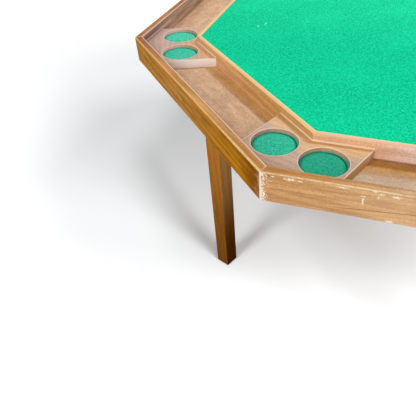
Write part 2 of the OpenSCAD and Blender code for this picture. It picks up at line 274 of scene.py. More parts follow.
# %% World
WORLD_LIGHT = 0.36
world = bpy.data.worlds.new("white_room")
world.use_nodes = True
world.node_tree.nodes.clear()
net = Net(world.node_tree)
path = net.tree.nodes.new("ShaderNodeLightPath").outputs
seen = net.most(path["Is Camera Ray"], path["Is Glossy Ray"], path["Is Transmission Ray"])
sky = net.add("ShaderNodeBackground", {"Color": (1.0, 0.95, 0.88, 1.0), "Strength": WORLD_LIGHT})
backdrop = net.add("ShaderNodeBackground", {"Color": (1.0, 1.0, 1.0, 1.0), "Strength": 1.0})
net.end("ShaderNodeOutputWorld", net.add("ShaderNodeMixShader", {0: seen, 1: sky, 2: backdrop}))
bpy.context.scene.world = world
print("world light", WORLD_LIGHT)

# %% Floor
FLOOR_REACH = 14.0
floor_paint, net = material("studio_floor")
net.end("ShaderNodeOutputMaterial",
        net.add("ShaderNodeBsdfDiffuse", {"Color": (0.378, 0.398, 0.428, 1.0)}))
floor_mesh = bpy.data.meshes.new("studio_floor")
floor_mesh.from_pydata([(x * FLOOR_REACH, y * FLOOR_REACH, 0)
                        for x, y in ((-1, -1), (1, -1), (1, 1), (-1, 1))], [], [(0, 1, 2, 3)])
floor_mesh.materials.append(floor_paint)
studio_floor = put("studio_floor", floor_mesh)
print("floor", FLOOR_REACH * 2, "m wide")

# %% Lamps
only_floor = bpy.data.collections.new("only_floor")
all_but_floor = bpy.data.collections.new("all_but_floor")
for collection in (only_floor, all_but_floor):
    collection.objects.link(studio_floor)
all_but_floor.collection_objects[0].light_linking.link_state = "EXCLUDE"
FLOOR_LIGHT = (0.99, 0.96, 0.91)


def lamp(name, kind, place, aim, strength, colour, lights, **settings):
    """A lamp at place that shines towards aim, on what lights holds."""
    data = bpy.data.lights.new(name, kind)
    data.energy, data.color = strength, colour
    for key, value in settings.items():
        setattr(data, key, value)
    made = put(name, data)
    turn = (Vector(place) - Vector(aim)).to_track_quat("Z", "Y").to_matrix().to_4x4()
    made.matrix_world = Matrix.Translation(place) @ turn
    made.light_linking.receiver_collection = lights


def sun(name, azimuth, elevation, strength, width, colour, lights):
    """A sun that shines from azimuth, in degrees from +X towards +Y, and from elevation."""
    a, e = math.radians(azimuth), math.radians(elevation)
    place = 3 * Vector((math.cos(a) * math.cos(e), math.sin(a) * math.cos(e), math.sin(e)))
    lamp(name, "SUN", place, (0, 0, 0), strength, colour, lights, angle=math.radians(width))


for name, azimuth, elevation, strength, width in (
        ("floor_low", -33.3, 20.1, 8.2, 24), ("floor_side", -19.5, 39, 3.1, 15),
        ("floor_steep", -49, 49.3, 2.05, 10.5), ("floor_left", -112.5, 53.8, 2.88, 13)):
    sun(name, azimuth, elevation, strength, width, FLOOR_LIGHT, only_floor)
sun("key", 45, 50, 1.44, 5, (0.92, 0.96, 1.0), all_but_floor)
sun("front_fill", -98, 32, 1.62, 50, (1.0, 0.98, 0.95), all_but_floor)
lamp("floor_spot", "SPOT", (0.10, -1.60, 2.20), (0.085, -0.465, 0.0), 150, FLOOR_LIGHT, only_floor,
     spot_size=math.radians(11), spot_blend=1.0, shadow_soft_size=0.1)
print("lamps", len(bpy.data.lights))

# %% [markdown]
# ## Wood
# Every board was sawn from its own plank, so its grain runs along the board and starts at its own
# place. Two attributes carry that: `place` is a point's position in the board's own frame, with Y
# along the board, and `board` is the board's number. The material stretches a noise along Y for
# the figure, adds bands for the growth rings and a fine one for the pores, and shifts all of them
# by the board's number. Because the pattern is solid, the end grain comes out by itself.

# %% Wood
def wood(name, light, dark, ring, contrast, roughness, wear_and_light=None, gloss=0.22, spread=0.16):
    """Stained and lacquered wood. A piece's own function, given net, place, board, colour and rough,
    adds its marks: wear, and light and shade painted into the colour.
    """
    made, net = material(name)
    place, board = net.attribute("place", "Vector"), net.attribute("board")
    sawn = net.vector("ADD", place, net.vector("SCALE", (0.37, 1.91, 0.73), board))
    stretched = net.vector("MULTIPLY", sawn, (1.0, 0.075, 1.0))
    sway = net.add("ShaderNodeTexNoise", {"Vector": stretched, "Scale": 16.0, "Detail": 2.0}, "Color")
    bent = net.vector("ADD", stretched, net.vector("SCALE", sway, ring * 2.0))
    figure = net.noise(bent, 1.15 / ring, 4.0, 0.55, distortion=0.4)
    rings = net.add("ShaderNodeTexWave", {
        "Vector": bent, "Scale": 0.314 / ring, "Distortion": 2.2, "Detail": 2.0, "Detail Scale": 1.2},
        "Fac", wave_type="BANDS", bands_direction="DIAGONAL")
    fibre = net.vector("MULTIPLY", sawn, (1.0, 0.045, 1.0))
    streak = net.noise(fibre, 520.0, 3.0, 0.6)
    pore = net.fade(net.noise(fibre, 1500.0, 1.0), 0.60, 0.74)

    mixed = net.plus(net.times(figure, 0.56), net.times(rings, 0.14), net.times(streak, 0.44))
    colour = net.along(mixed, dark, (0.57 - 0.20 / contrast, 0.57 + 0.20 / contrast, light))

    # Slow changes of tone: from board to board, and along each board
    slow = net.noise(sawn, 14.0, stretch=(1.0, 0.3, 1.0))
    tone = net.plus(net.times(net.chance(board), 0.10), net.times(slow, 0.30))
    colour = net.tint(colour, net.add("ShaderNodeCombineColor", {
        k: net.plus(tone, 0.80 - 0.01 * k) for k in range(3)}))
    colour = net.over(colour, scaled(dark, 0.35), pore, 0.28)
    grit = net.noise(sawn, 620.0, 3.0, 0.7, stretch=(1.0, 0.45, 1.0))
    colour = net.tint(colour, net.fade(grit, 0.30, 0.70, 1.0 - spread, 1.0 + spread))
    rough = net.fade(streak, 0.3, 0.7, roughness - 0.05, roughness + 0.08)
    if wear_and_light:
        colour, rough = wear_and_light(net, place, board, colour, rough)
    height = net.minus(streak, net.times(pore, 0.8))
    surface(net, colour, rough, height, 0.12 * MM, 0.3, Specular_IOR_Level=gloss)
    return made


print("wood() makes a solid grain")

# %% [markdown]
# ## Worn edges
# On the real table the lacquer has gone where hands and chairs rub: a pale upright edge at the corners,
# and chips on the front board. The cream line along the rail's outer arris, and a pale one along the
# inner arris, are partly that bare wood and partly a painted highlight on the rounded edge. The
# material knows each point's place on its board, so it can measure how far a point lies from an arris
# and fade to the pale colour there, broken up by a noise so that the line isn't ruled. The boards
# differ in tone too: the one to the left of the front is a deep amber outside, and painted darker
# there, a painted shade on a face turned from the lamps; the inside of the next one is greyer, and
# darker towards one end.

# %% Rail wood
CHIPS = [  # on the front board: along, below the top, half length, half height, in millimetres
    (-254, 5.0, 3.0, 1.6), (-231, 5.5, 9.0, 2.6), (-216, 6.0, 4.0, 1.6), (-160, 4.2, 9.0, 1.2),
    (-132, 13.5, 4.5, 1.4), (-131, 20.5, 1.6, 6.0), (-117, 2.0, 3.4, 1.6), (-109, 5.5, 3.5, 2.2),
    (-112, 12.0, 1.4, 3.0), (-90, 6.0, 7.0, 2.4), (-92, 49.0, 5.5, 2.4),
]


def rail_wear_and_light(net, place, board, colour, rough):
    x, y, z = net.parts(place)
    on_front, on_grey, on_amber = (net.only(board, k) for k in (FRONT, GREY, AMBER))
    rub = net.noise(place, 90.0, 4.0, 0.65)
    fine = net.noise(place, 420.0, 3.0, 0.7)
    streak = net.noise(place, 260.0, 3.0, 0.6, stretch=(1.0, 0.06, 1.0))
    mottle = net.noise(place, 70.0, 3.0, 0.6, stretch=(1.0, 0.4, 1.0))
    outer = net.mm_fade(x, rail_out, -0.8, -0.3)
    inner = net.times(net.mm_fade(x, rail_in, 0.8, 0.3), on_grey)

    # Tones of the outer faces: some boards are darker, and the amber one has streaks and blotches and
    # is painted darker, deepest near one end, a painted shade on a face turned from the lamps
    outside = net.along(net.chance(net.plus(board, 41.3)), (0.95, 0.98, 1.0),
                        (0.35, 0.80, (0.86, 0.78, 0.60)))
    outside = net.colour(on_front, outside, (0.90, 0.95, 1.03))
    amber = net.along(y, (0.70, 0.64, 0.36), (-0.02, 0.20, (0.66, 0.53, 0.08)))
    for value, start, end, amount, deep in (
            (streak, 0.50, 0.68, 0.30, (0.36, 0.22, 0.05)),
            (mottle, 0.52, 0.66, 0.40, (0.40, 0.26, 0.09)),
            (y, 0.205, 0.255, 0.85, (0.32, 0.20, 0.03))):
        amber = net.colour(net.fade(value, start, end, 0.0, amount), amber, deep)
    outside = net.colour(on_amber, outside, amber)

    # Tones of the tops and the inner faces
    tone = net.colour(on_amber, (1.0, 1.0, 1.0), net.along(
        y, (0.86, 0.78, 0.92), (-0.20, -0.02, (1.10, 1.10, 1.06)), (0.04, 0.14, (0.96, 0.90, 0.84))))
    tone = net.colour(on_grey, tone, (0.84, 0.72, 0.80))
    tone = net.colour(on_front, tone, net.along(
        y, (0.98, 0.92, 0.74), (-0.21, -0.03, (1.20, 1.50, 2.15))))
    tone = net.colour(inner, tone, net.along(
        y, (0.90, 1.25, 2.5), (0.10, 0.24, (0.58, 0.66, 1.5))))
    colour = net.tint(colour, net.colour(outer, tone, outside))
    strip = net.times(net.near(z, block_top + 4.0 * MM, 4.0 * MM), net.fade(y, 0.115, 0.135), inner)
    colour = net.over(colour, (0.80, 0.60, 0.56), strip, 0.55)

    # The front board: streaks of darker grain, paler towards the right, and a dark line low down
    face = net.times(on_front, outer)
    dusk = net.times(net.fade(streak, 0.47, 0.66, 0.0, 0.55), face)
    colour = net.tint(colour, (0.72, 0.58, 0.46), dusk)
    paler_right = net.times(net.fade(y, -0.24, -0.07, 0.0, 0.16), face)
    colour = net.over(colour, (1.0, 0.80, 0.54), paler_right)
    climb = net.plus(z, net.times(y, -0.086), net.times(rub, -0.003))
    line = net.times(net.near(climb, rail_z + 24.2 * MM, 1.1 * MM), net.fade(y, -0.18, -0.15), face)
    colour = net.over(colour, (0.15, 0.055, 0.02), line, 0.55)

    # Pale lines along both top arrises, by their distance in the board's section: partly bare wood
    # where the lacquer is worn, partly a painted highlight on the rounded edge
    def arris(across, height, width, waver):
        away = net.away(place, (across, 0.0, height), (1.0, IGNORE, 1.0))
        away = net.minus(net.plus(away, net.times(rub, waver)), width)
        return net.fade(away, 0.9 * MM + waver * 0.5, waver * 0.5)

    by_corner = net.times(on_amber, net.fade(y, 0.10, 0.22))
    width = net.plus(net.pick(on_amber, 0.6 * MM, 1.1 * MM), net.times(by_corner, 0.4 * MM))
    pale_mask = arris(rail_out - 0.9 * MM, rail_top - 0.9 * MM, width, 1.6 * MM)
    broken = net.times(pale_mask, net.fade(rub, 0.36, 0.56, net.pick(on_amber, 0.25, 0.60), 1.0))
    cream = net.colour(on_amber, (0.93, 0.78, 0.60), (0.88, 0.53, 0.20))
    cream = net.colour(by_corner, cream, (0.96, 0.72, 0.34))
    colour = net.over(colour, cream, broken, net.pick(on_amber, 0.62, 0.75))
    width = net.pick(net.most(on_grey, on_amber), 0.4 * MM, 1.2 * MM)
    soft = arris(rail_in + 0.4 * MM, rail_top - 0.4 * MM, width, 1.2 * MM)
    pale = net.colour(on_amber, (0.88, 0.66, 0.54), (0.93, 0.76, 0.68))
    colour = net.over(colour, pale, soft, net.pick(on_amber, 0.75, 0.90))

    # Mitres and upright arrises; by the front board's left end the lacquer has flaked off in patches
    from_end = net.minus(net.times(x, TAN), net.size(y))
    edge = net.fade(net.plus(from_end, net.times(fine, 3.0 * MM)), 3.4 * MM, 2.2 * MM)
    edge = net.times(edge, net.fade(rub, 0.30, 0.50, 0.45, 1.0))
    patch = net.plus(net.times(fine, 0.65), net.times(rub, 0.35), net.times(from_end, -9.0))
    flaky = net.times(on_front, net.fade(y, 0.0, -0.1))
    patch = net.times(net.fade(patch, 0.44, 0.50), net.pick(flaky, 0.25, 1.0))
    end = net.times(net.most(edge, patch), outer)
    colour = net.over(colour, (0.90, 0.82, 0.68), end, 0.82)
    mitre = net.times(net.fade(from_end, 1.1 * MM, 0.5 * MM),
                      net.mm_fade(z, rail_top, -1.5, -0.6))
    colour = net.over(colour, (0.92, 0.74, 0.56), mitre, 0.6)

    # Chips on the front board
    chips = 0.0
    for at, drop, half_l, half_h in CHIPS:
        chip = (rail_out, at * MM, rail_top - drop * MM)
        away = net.away(place, chip, (1.0, half_l * MM, half_h * MM))
        chips = net.most(chips, net.fade(net.plus(away, net.times(fine, 3.4)), 2.75, 2.05))
    chips = net.times(chips, face)
    colour = net.over(colour, (0.88, 0.76, 0.60), chips, 0.78)
    return colour, net.pick(net.most(pale_mask, end, chips), 0.48, 0.68)


rail_wood = wood("rail_wood", (0.66, 0.36, 0.150), (0.42, 0.195, 0.065), 0.009, 0.9, 0.50,
                 rail_wear_and_light, gloss=0.0)
print("rail wood with", len(CHIPS), "chips")

# %% [markdown]
# ## Plain meshes
# A helper turns a list of corners and faces into an object, and another one bakes whatever
# modifiers are on it. The place attribute is written before a board is put in position, so the
# grain stays with the board. Smooth shading with sharp edges above 35 degrees keeps flats flat.

# %% Mesh helpers
def mesh_object(name, corners, faces):
    mesh = bpy.data.meshes.new(name)
    shape = bmesh.new()
    points = [shape.verts.new(c) for c in corners]
    for face in faces:
        shape.faces.new([points[i] for i in face])
    bmesh.ops.remove_doubles(shape, verts=shape.verts, dist=1e-6)
    bmesh.ops.recalc_face_normals(shape, faces=shape.faces)
    shape.to_mesh(mesh)
    shape.free()
    return put(name, mesh)


def bake(made):
    """Turns an object and its modifiers into one plain mesh."""
    graph = bpy.context.evaluated_depsgraph_get()
    mesh = bpy.data.meshes.new_from_object(made.evaluated_get(graph), preserve_all_data_layers=True,
                                           depsgraph=graph)
    old = made.data
    made.modifiers.clear()
    made.data = mesh
    bpy.data.meshes.remove(old)
    return made


def soften(made, width, segments=2):
    """Rounds the sharp edges by width, and bakes the result."""
    edge = made.modifiers.new("edge", "BEVEL")
    edge.width, edge.segments = width, segments
    edge.limit_method, edge.angle_limit = "ANGLE", math.radians(40)
    edge.harden_normals = False
    return bake(made)


def moved(made, *steps):
    """Moves the mesh itself, so that the object stays at the origin."""
    for step in steps:
        made.data.transform(step)
    return made


def give_place(made, order=(0, 1, 2), number=None):
    """Writes each corner's place on its board; order says what of x, y, z lies across, along, up."""
    mesh = made.data
    layer = mesh.attributes.new("place", "FLOAT_VECTOR", "POINT")
    layer.data.foreach_set("vector", [v.co[k] for v in mesh.vertices for k in order])
    if number is not None:
        layer = mesh.attributes.new("board", "FLOAT", "POINT")
        layer.data.foreach_set("value", [float(number)] * len(mesh.vertices))
    return made


def finished(made, paint, body, *nodes, slot=None):
    """Paints and shades a piece, hangs it on the body that carries it, and hides the nodes it stands
    for.

    The slot argument is not used.
    """
    made.data.materials.clear()
    made.data.materials.append(paint)
    made.data.shade_smooth()
    made.data.set_sharp_from_angle(angle=math.radians(35))
    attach(made, body)
    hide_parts(*nodes)
    slot or paint.name.partition(".")[0]
    print(made.name, len(made.data.polygons), "faces")


def arc(cx, cz, radius, start, end, steps):
    turns = [math.radians(start + (end - start) * k / steps) for k in range(steps + 1)]
    return [(cx + radius * math.cos(a), cz + radius * math.sin(a)) for a in turns]


def prism(name, outline, bottom, top):
    n = len(outline)
    corners = [(x, y, z) for z in (bottom, top) for x, y in outline]
    faces = [tuple(range(n)), tuple(range(n, 2 * n))]
    faces += [(k, (k + 1) % n, n + (k + 1) % n, n + k) for k in range(n)]
    return mesh_object(name, corners, faces)


def turned(name, profile, steps=48, ring=False):
    """Turns a profile round Z. It may be a function of the angle; a ring's closes on itself."""
    corners, faces = [], []
    for k in range(steps):
        a = math.tau * k / steps
        points = profile(a) if callable(profile) else profile
        corners += [(r * math.cos(a), r * math.sin(a), z) for r, z in points]
    n = len(points)
    for k in range(steps):
        here, there = k * n, (k + 1) % steps * n
        faces += [(here + i, there + i, there + (i + 1) % n, here + (i + 1) % n)
                  for i in range(n if ring else n - 1)]
    return mesh_object(name, corners, faces)


def joined(name, parts):
    """Several meshes as one object; the parts are used up."""
    shape = bmesh.new()
    for part in parts:
        shape.from_mesh(part.data)
        bpy.data.objects.remove(part)
    mesh = bpy.data.meshes.new(name)
    shape.to_mesh(mesh)
    shape.free()
    return put(name, mesh)


def drilled(made, drill):
    """The object with the drill's shape taken out of it."""
    cut = made.modifiers.new("cut", "BOOLEAN")
    cut.operation, cut.object, cut.solver = "DIFFERENCE", drill, "EXACT"
    bake(made)
    bpy.data.objects.remove(drill)
    return made


print("mesh helpers are ready")

# %% [markdown]
# ## Eight times round the table
# Rails, curbs, cup blocks and the trough's floor all come in eights, one for each side or corner.
# One board is modelled, and a Geometry Nodes tree sets a copy at every 45 degrees and
# numbers the copies, so that the wood can tell them apart. The tree ends in Realize Instances,
# because an exported model holds no instances, and in Set Material.

# %% Geometry Nodes: copies round the middle
def start_tree(name, **inputs):
    """A Geometry Nodes tree with named inputs, the net to fill it with and a look-up of its inputs."""
    tree = bpy.data.node_groups.new(name, "GeometryNodeTree")
    tree.is_modifier = True
    body = {"Geometry": "Geometry"}
    for way, sockets in (("INPUT", {**body, **inputs}), ("OUTPUT", body)):
        for title, kind in sockets.items():
            title, kind = title.replace("_", " "), "NodeSocket" + kind
            tree.interface.new_socket(title, in_out=way, socket_type=kind)
    return tree, Net(tree), tree.nodes.new("NodeGroupInput").outputs


def copies(net, points, piece, angle, number=None, title=None):
    """A copy on every point, turned by angle about Z. Its number is written on it under title."""
    turn = net.add("FunctionNodeEulerToRotation", {0: net.add("ShaderNodeCombineXYZ", {2: angle})})
    made = net.add("GeometryNodeInstanceOnPoints", {
        "Points": points, "Instance": piece, "Rotation": turn})
    if title is None:
        return made
    return net.add("GeometryNodeStoreNamedAttribute", {
        "Geometry": made, "Name": title, "Value": number}, data_type="FLOAT", domain="INSTANCE")


def end_tree(net, geometry, paint):
    """Realize Instances, Set Material, and out."""
    solid = net.add("GeometryNodeRealizeInstances", {"Geometry": geometry})
    painted = net.add("GeometryNodeSetMaterial", {"Geometry": solid, "Material": paint})
    net.end("NodeGroupOutput", painted)
    print("tree", net.tree.name, "with", len(net.tree.nodes), "nodes")


def run_tree(made, tree, **values):
    """Puts the tree on an object, sets its inputs by their identifiers and bakes the result."""
    step = made.modifiers.new(tree.name, "NODES")
    step.node_group = tree
    for item in tree.interface.items_tree:
        title = item.name.replace(" ", "_")
        if item.item_type == "SOCKET" and item.in_out == "INPUT" and title in values:
            step[item.identifier] = values[title]
    return bake(made)


around, net, given = start_tree("copies_round_the_middle", Copies="Int", First_angle="Float",
                                Material="Material")
number = net.add("GeometryNodeInputIndex")
points = net.add("GeometryNodePoints", {"Count": given["Copies"]})
step = net.math("DIVIDE", math.tau, given["Copies"])
angle = net.plus(net.times(number, step), given["First angle"])
end_tree(net, copies(net, points, given["Geometry"], angle, number, "board"), given["Material"])


def set_round(made, first_angle, paint, *nodes, count=8):
    """Sets copies of a piece round the middle of the top, and finishes them as one."""
    run_tree(made, around, Copies=count, First_angle=first_angle, Material=paint)
    finished(made, paint, "table_top", *nodes)


# %% [markdown]
# ## Rail
# A rail board is a long strip with a rounded outer top edge, worn round by arms, a softer inner
# one, and a groove that holds the base panel. Its section is a short list of points, drawn as the
# distance from the middle of the table and the height. Pulled along Y and cut at 22.5 degrees at
# both ends, it becomes one of eight mitred boards.

# %% Rail boards
FIRST_SIDE, FIRST_CORNER = math.radians(-90), math.radians(-67.5)
OUTER_ROUND, INNER_ROUND = 3 * MM, 1.5 * MM


def side_board(name, section, gap=0.08 * MM, stations=9):
    """A mitred board: section holds (distance, height) points; gap is the open half of its mitre."""
    n = len(section)
    corners, faces = [], []
    for s in range(stations + 1):
        t = s / stations * 2 - 1
        corners += [(x, t * (x * TAN - gap), z) for x, z in section]
    for s in range(stations):
        here, there = s * n, (s + 1) * n
        faces += [(here + k, here + (k + 1) % n, there + (k + 1) % n, there + k) for k in range(n)]
    faces += [tuple(range(n)), tuple(range(stations * n, (stations + 1) * n))]
    return mesh_object(name, corners, faces)


groove, groove_top = panel_out + 0.3 * MM, floor_z + 0.1 * MM
rail = side_board(
    "rail", [(rail_in, rail_z), (rail_out, rail_z)]
    + arc(rail_out - OUTER_ROUND, rail_top - OUTER_ROUND, OUTER_ROUND, 0, 90, 6)
    + arc(rail_in + INNER_ROUND, rail_top - INNER_ROUND, INNER_ROUND, 90, 180, 4)
    + [(rail_in, groove_top), (groove, groove_top), (groove, base_z), (rail_in, base_z)])
rail_names = ["rail_" + side for side in SIDES]
set_round(give_place(soften(rail, 0.5 * MM)), FIRST_SIDE, rail_wood, *rail_names)

# %% [markdown]
# ## Curb
# The curb is the thin board that walls the trough on its inner side and keeps the felt's edge. Its
# top carries the brightest line on the whole table, where the lacquer has rubbed down to pale wood.

# %% Curb boards
def curb_wear_and_shade(net, place, board, colour, rough):
    x, y, z = net.parts(place)
    on_front = net.only(board, FRONT)
    rub = net.noise(place, 130.0, 3.0, 0.6)
    top = net.mm_fade(net.minus(z, net.times(rub, 1.2 * MM)), curb_top, -2.2, -0.9)
    colour = net.over(colour, (0.96, 0.62, 0.31), top, 0.72)
    inward = net.mm_fade(net.plus(x, net.times(rub, 2 * MM)), curb_in, 4.2, 2.4)
    colour = net.over(colour, (0.98, 0.78, 0.46), top, inward, 0.70)
    # At the wall's foot a line: pale on most boards, and on the front board dark, a painted shadow in
    # the corner where the wall meets the floor
    foot = net.mm_fade(net.plus(z, net.times(rub, MM)), floor_z, 3.4, 2.4)
    at_foot = net.colour(on_front, (0.97, 0.68, 0.42), (0.36, 0.20, 0.08))
    colour = net.over(colour, at_foot, foot, 0.9)
    # The front board is pinkish, more so towards the right
    pink = net.along(y, (1.08, 1.14, 1.60), (-0.16, -0.04, (1.10, 1.52, 3.4)))
    colour = net.tint(colour, net.colour(top, pink, (1.0, 1.0, 1.25)), on_front)
    wall = net.times(net.mm_fade(z, curb_top, -1.2, -2.0), net.only(board, AMBER))
    shaded = net.along(y, (0.96, 1.00, 1.12), (-0.08, 0.10, (0.84, 0.86, 0.76)))
    colour = net.tint(colour, shaded, wall)
    # Glue and wear have left a pale line along the tops of the cup blocks
    from_end = net.minus(net.times(x, TAN), net.size(y))
    by_block = net.fade(from_end, block_v / COS, block_v / COS - MM)
    seam = net.near(net.plus(z, net.times(rub, MM)), block_top + 1.6 * MM, 2.5 * MM)
    return net.over(colour, (1.0, 0.84, 0.62), seam, by_block, 0.92), rough


EASE = 0.8 * MM
curb_wood = wood("curb_wood", (0.92, 0.56, 0.26), (0.66, 0.35, 0.125), 0.010, 0.8, 0.50, curb_wear_and_shade,
                 gloss=0.08)
curb = side_board("curb", [(curb_in, floor_z), (curb_out, floor_z), (curb_out, curb_top - EASE),
                           (curb_out - EASE, curb_top), (curb_in, curb_top)])
curb_names = ["curb_" + side for side in SIDES]
set_round(give_place(soften(curb, 0.25 * MM)), FIRST_SIDE, curb_wood, *curb_names)

# %% [markdown]
# ## Cup blocks
# Each corner has a block that is pointed against the rails and notched round the curb's corner,
# with two shallow holes for cups. The block starts as a plain prism, and a drill of two cylinders
# is taken out of it. Then every edge is rounded a little, the rims of the holes too. The places of
# the holes are measured on the felt discs in the frame, two of which lie by each corner.

# %% Cup hole places
cup_seat, cup_felt_top = (corner[2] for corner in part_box("cup_felts"))
discs = [spin @ v.co for v in frame["nodes"]["cup_felts"].data.vertices]
one_disc = [c for c in discs if c.x > 0.45 and 0 < c.y < 0.12]
(cup_near, cup_far), (cup_low, cup_high) = [[pick(c[k] for c in one_disc) for pick in (min, max)]
                                            for k in (0, 1)]
cup_u, cup_v, disc_r = (cup_near + cup_far) / 2, (cup_low + cup_high) / 2, (cup_far - cup_near) / 2
cup_r = disc_r + 0.3 * MM
print("cup holes at", round(cup_u, 5), round(cup_v, 5), "radius", round(cup_r, 5))


# %% Cup block shape
def block_wear_and_light(net, place, board, colour, rough):
    x, y, z = net.parts(place)
    half, on_grey = net.size(y), net.only(board, GREY)
    distance = net.times(net.plus(x, net.times(half, TAN)), COS)
    rub = net.noise(place, 160.0, 3.0, 0.6)
    from_holes = [net.away(place, (cup_u, s * cup_v, 0.0), (1.0, 1.0, IGNORE)) for s in (-1, 1)]

    # Tops are painted warm and light beside the curb and greyer towards the rail, painted light and
    # shade, with an amber strip just by the curb, a painted shadow of its wall
    tone = net.along(net.fade(distance, curb_out + 12 * MM, rail_in - 30 * MM), (1.46, 1.52, 1.28),
                     (0.0, 0.5, (1.10, 1.28, 1.52)), (0.6, 1.0, (1.07, 1.16, 1.24)))
    tone = net.along(distance, tone, (curb_out + 9 * MM, curb_out + 6.5 * MM, (1.42, 1.27, 0.72)))
    grey_block_shading = net.along(distance, (1.34, 1.24, 1.04),
                       (curb_out + 8 * MM, curb_out + 45 * MM, (1.12, 1.22, 1.44)))
    colour = net.tint(colour, net.colour(on_grey, tone, grey_block_shading))

    # Pale rims round the holes, and a pale line along the top's outline
    rims = [net.near(net.plus(away, net.times(rub, 0.8 * MM)), cup_r + 1.0 * MM, 1.4 * MM)
            for away in from_holes]
    sides = []
    for s in (-1, 1):  # the two halves of the line fade out past the block's middle
        line = net.vector("DOT_PRODUCT", place, (COS, s * COS * TAN, 0.0))
        line = net.plus(line, net.times(rub, 0.6 * MM))
        shown = net.fade(net.times(y, s), -1.5 * MM, 0.0)
        sides += [net.times(net.near(line, edge, 1.2 * MM), shown)
                  for edge in (curb_out + 0.8 * MM, rail_in - 0.8 * MM)]
    ends = net.times(net.near(half, block_v - 0.5 * MM, 2.0 * MM), 1.3)
    high_up = net.mm_fade(z, block_top, -1.6, -0.6)
    colour = net.over(colour, (0.97, 0.82, 0.72), net.most(ends, *rims, *sides), high_up, 0.50)

    # The walls of the holes are painted darker, a painted shade in the recess; on the grey block the
    # wall is painted lighter towards the rail side and darker on the other, painted light and shade
    hole = net.most(*[net.mm_fade(away, cup_r, 0.5, 0.1) for away in from_holes])
    hole = net.times(hole, net.mm_fade(z, block_top, -0.7, -1.3))
    lit_wall = net.along(x, (0.98, 0.74, 0.58),
                      (cup_u - 0.6 * cup_r, cup_u + 0.4 * cup_r, (1.48, 1.30, 1.56)))
    colour = net.tint(colour, net.colour(on_grey, (0.88, 0.74, 0.76), lit_wall), hole)

    # Every other block's ends are painted pale and greyish, as if brightly lit, and the rest a darker
    # brown,
    # as if in shade: painted light and shade
    end = net.mm_fade(half, block_v, -0.5, -0.1)
    pale_mask = net.fade(net.math("MODULO", net.plus(board, 0.5), 2.0), 0.9, 1.1, 1.0, 0.0)
    lit_end = net.along(net.noise(place, 300.0, 3.0, stretch=(0.1, 1.0, 1.0)), (0.92, 0.90, 1.0),
                    (0.35, 0.65, (1.0, 1.0, 1.0)))
    shaded_end = net.along(distance, (0.68, 0.46, 0.34),
                        (curb_out + 4 * MM, curb_out + 34 * MM, (0.50, 0.28, 0.11)))
    return net.over(colour, net.colour(pale_mask, shaded_end, lit_end), end, 0.96), rough


def circle(cx, cy, radius, steps=96):
    return arc(cx, cy, radius, 0, 360, steps)[:-1]


block_wood = wood("block_wood", (0.60, 0.385, 0.27), (0.44, 0.265, 0.17), 0.006, 0.5, 0.52, block_wear_and_light)
BLOCK_FIT = 0.3 * MM
notch, point = (curb_out + BLOCK_FIT) / COS, (rail_in - BLOCK_FIT) / COS
slope = block_v * TAN
outline = [(notch - slope, -block_v), (point - slope, -block_v), (point, 0),
           (point - slope, block_v), (notch - slope, block_v), (notch, 0)]
drill = joined("drill", [prism("drill", circle(cup_u, s * cup_v, cup_r), cup_seat, block_top + 5 * MM)
                         for s in (-1, 1)])
block = soften(drilled(prism("cup_block", outline, floor_z, block_top), drill), 0.7 * MM)
set_round(give_place(block), FIRST_CORNER, block_wood, *numbered("cup_block", 8))

# %% [markdown]
# ## Base panel and trough floor
# From above only the trough's floor shows, and there the veneer runs along each side. From below
# one large panel shows, and its grain runs one way. So the panel is made in two layers: a slab, and
# eight thin strips of veneer on it, which meet under the cup blocks.

# %% Trough floor
def floor_blotches_and_shadow(net, place, board, colour, rough):
    """Blotches all over, and a painted shadow: darker and more amber along the curb's foot, most in
    front, where the floor is also pinkish by the rail.
    """
    x, on_front = net.parts(place)[0], net.only(board, FRONT)
    blotch = net.noise(place, 75.0, 3.0, 0.6, stretch=(1.0, 0.5, 1.0))
    colour = net.tint(colour, net.fade(blotch, 0.32, 0.68, 0.86, 1.08))
    by_curb = net.mm_fade(net.plus(x, net.times(blotch, 4 * MM)), curb_out, 27, 20)
    colour = net.tint(colour, net.colour(on_front, (1.03, 0.93, 0.58), (0.90, 0.80, 0.60)), by_curb)
    tone = net.along(x, (0.86, 0.74, 0.46),
                     (curb_out + 24 * MM, curb_out + 50 * MM, (0.94, 1.06, 1.22)),
                     (curb_out + 48 * MM, rail_in - 14 * MM, (0.97, 1.28, 1.9)))
    return net.tint(colour, tone, on_front), rough


floor_wood = wood("floor_wood", (0.76, 0.51, 0.33), (0.58, 0.36, 0.215), 0.010, 0.5, 0.50, floor_blotches_and_shadow,
                  spread=0.22)
under_veneer, strip_in = floor_z - 1.2 * MM, curb_in - 20 * MM
veneer = side_board("trough_floor", [(strip_in, under_veneer), (panel_out, under_veneer),
                                     (panel_out, floor_z), (strip_in, floor_z)], 0.1 * MM)
set_round(give_place(soften(veneer, 0.1 * MM)), FIRST_SIDE, floor_wood, "base_panel")


# %% Base panel
def octagon(apothem):
    return arc(0, 0, apothem / COS, -67.5, 292.5, 8)[:-1]


under_wood = wood("under_wood", (0.62, 0.42, 0.25), (0.44, 0.27, 0.14), 0.022, 0.8, 0.60)
slab = give_place(prism("base_panel_board", octagon(panel_out), base_z, under_veneer), (1, 0, 2), 3)
finished(slab, under_wood, "table_top", "base_panel", slot="floor_wood")

# %% [markdown]
# ## Felt
# The playing surface is wool felt, glued flat. Up close it is a mat of short fibres that point
# every way: light ones stand up and catch the lamp, and between them it is darker. Three noises of
# different grain stand for the fibres, a slow one for the pile that hands have pushed about, and
# the shader's sheen gives the soft bright look that cloth has at a low angle.

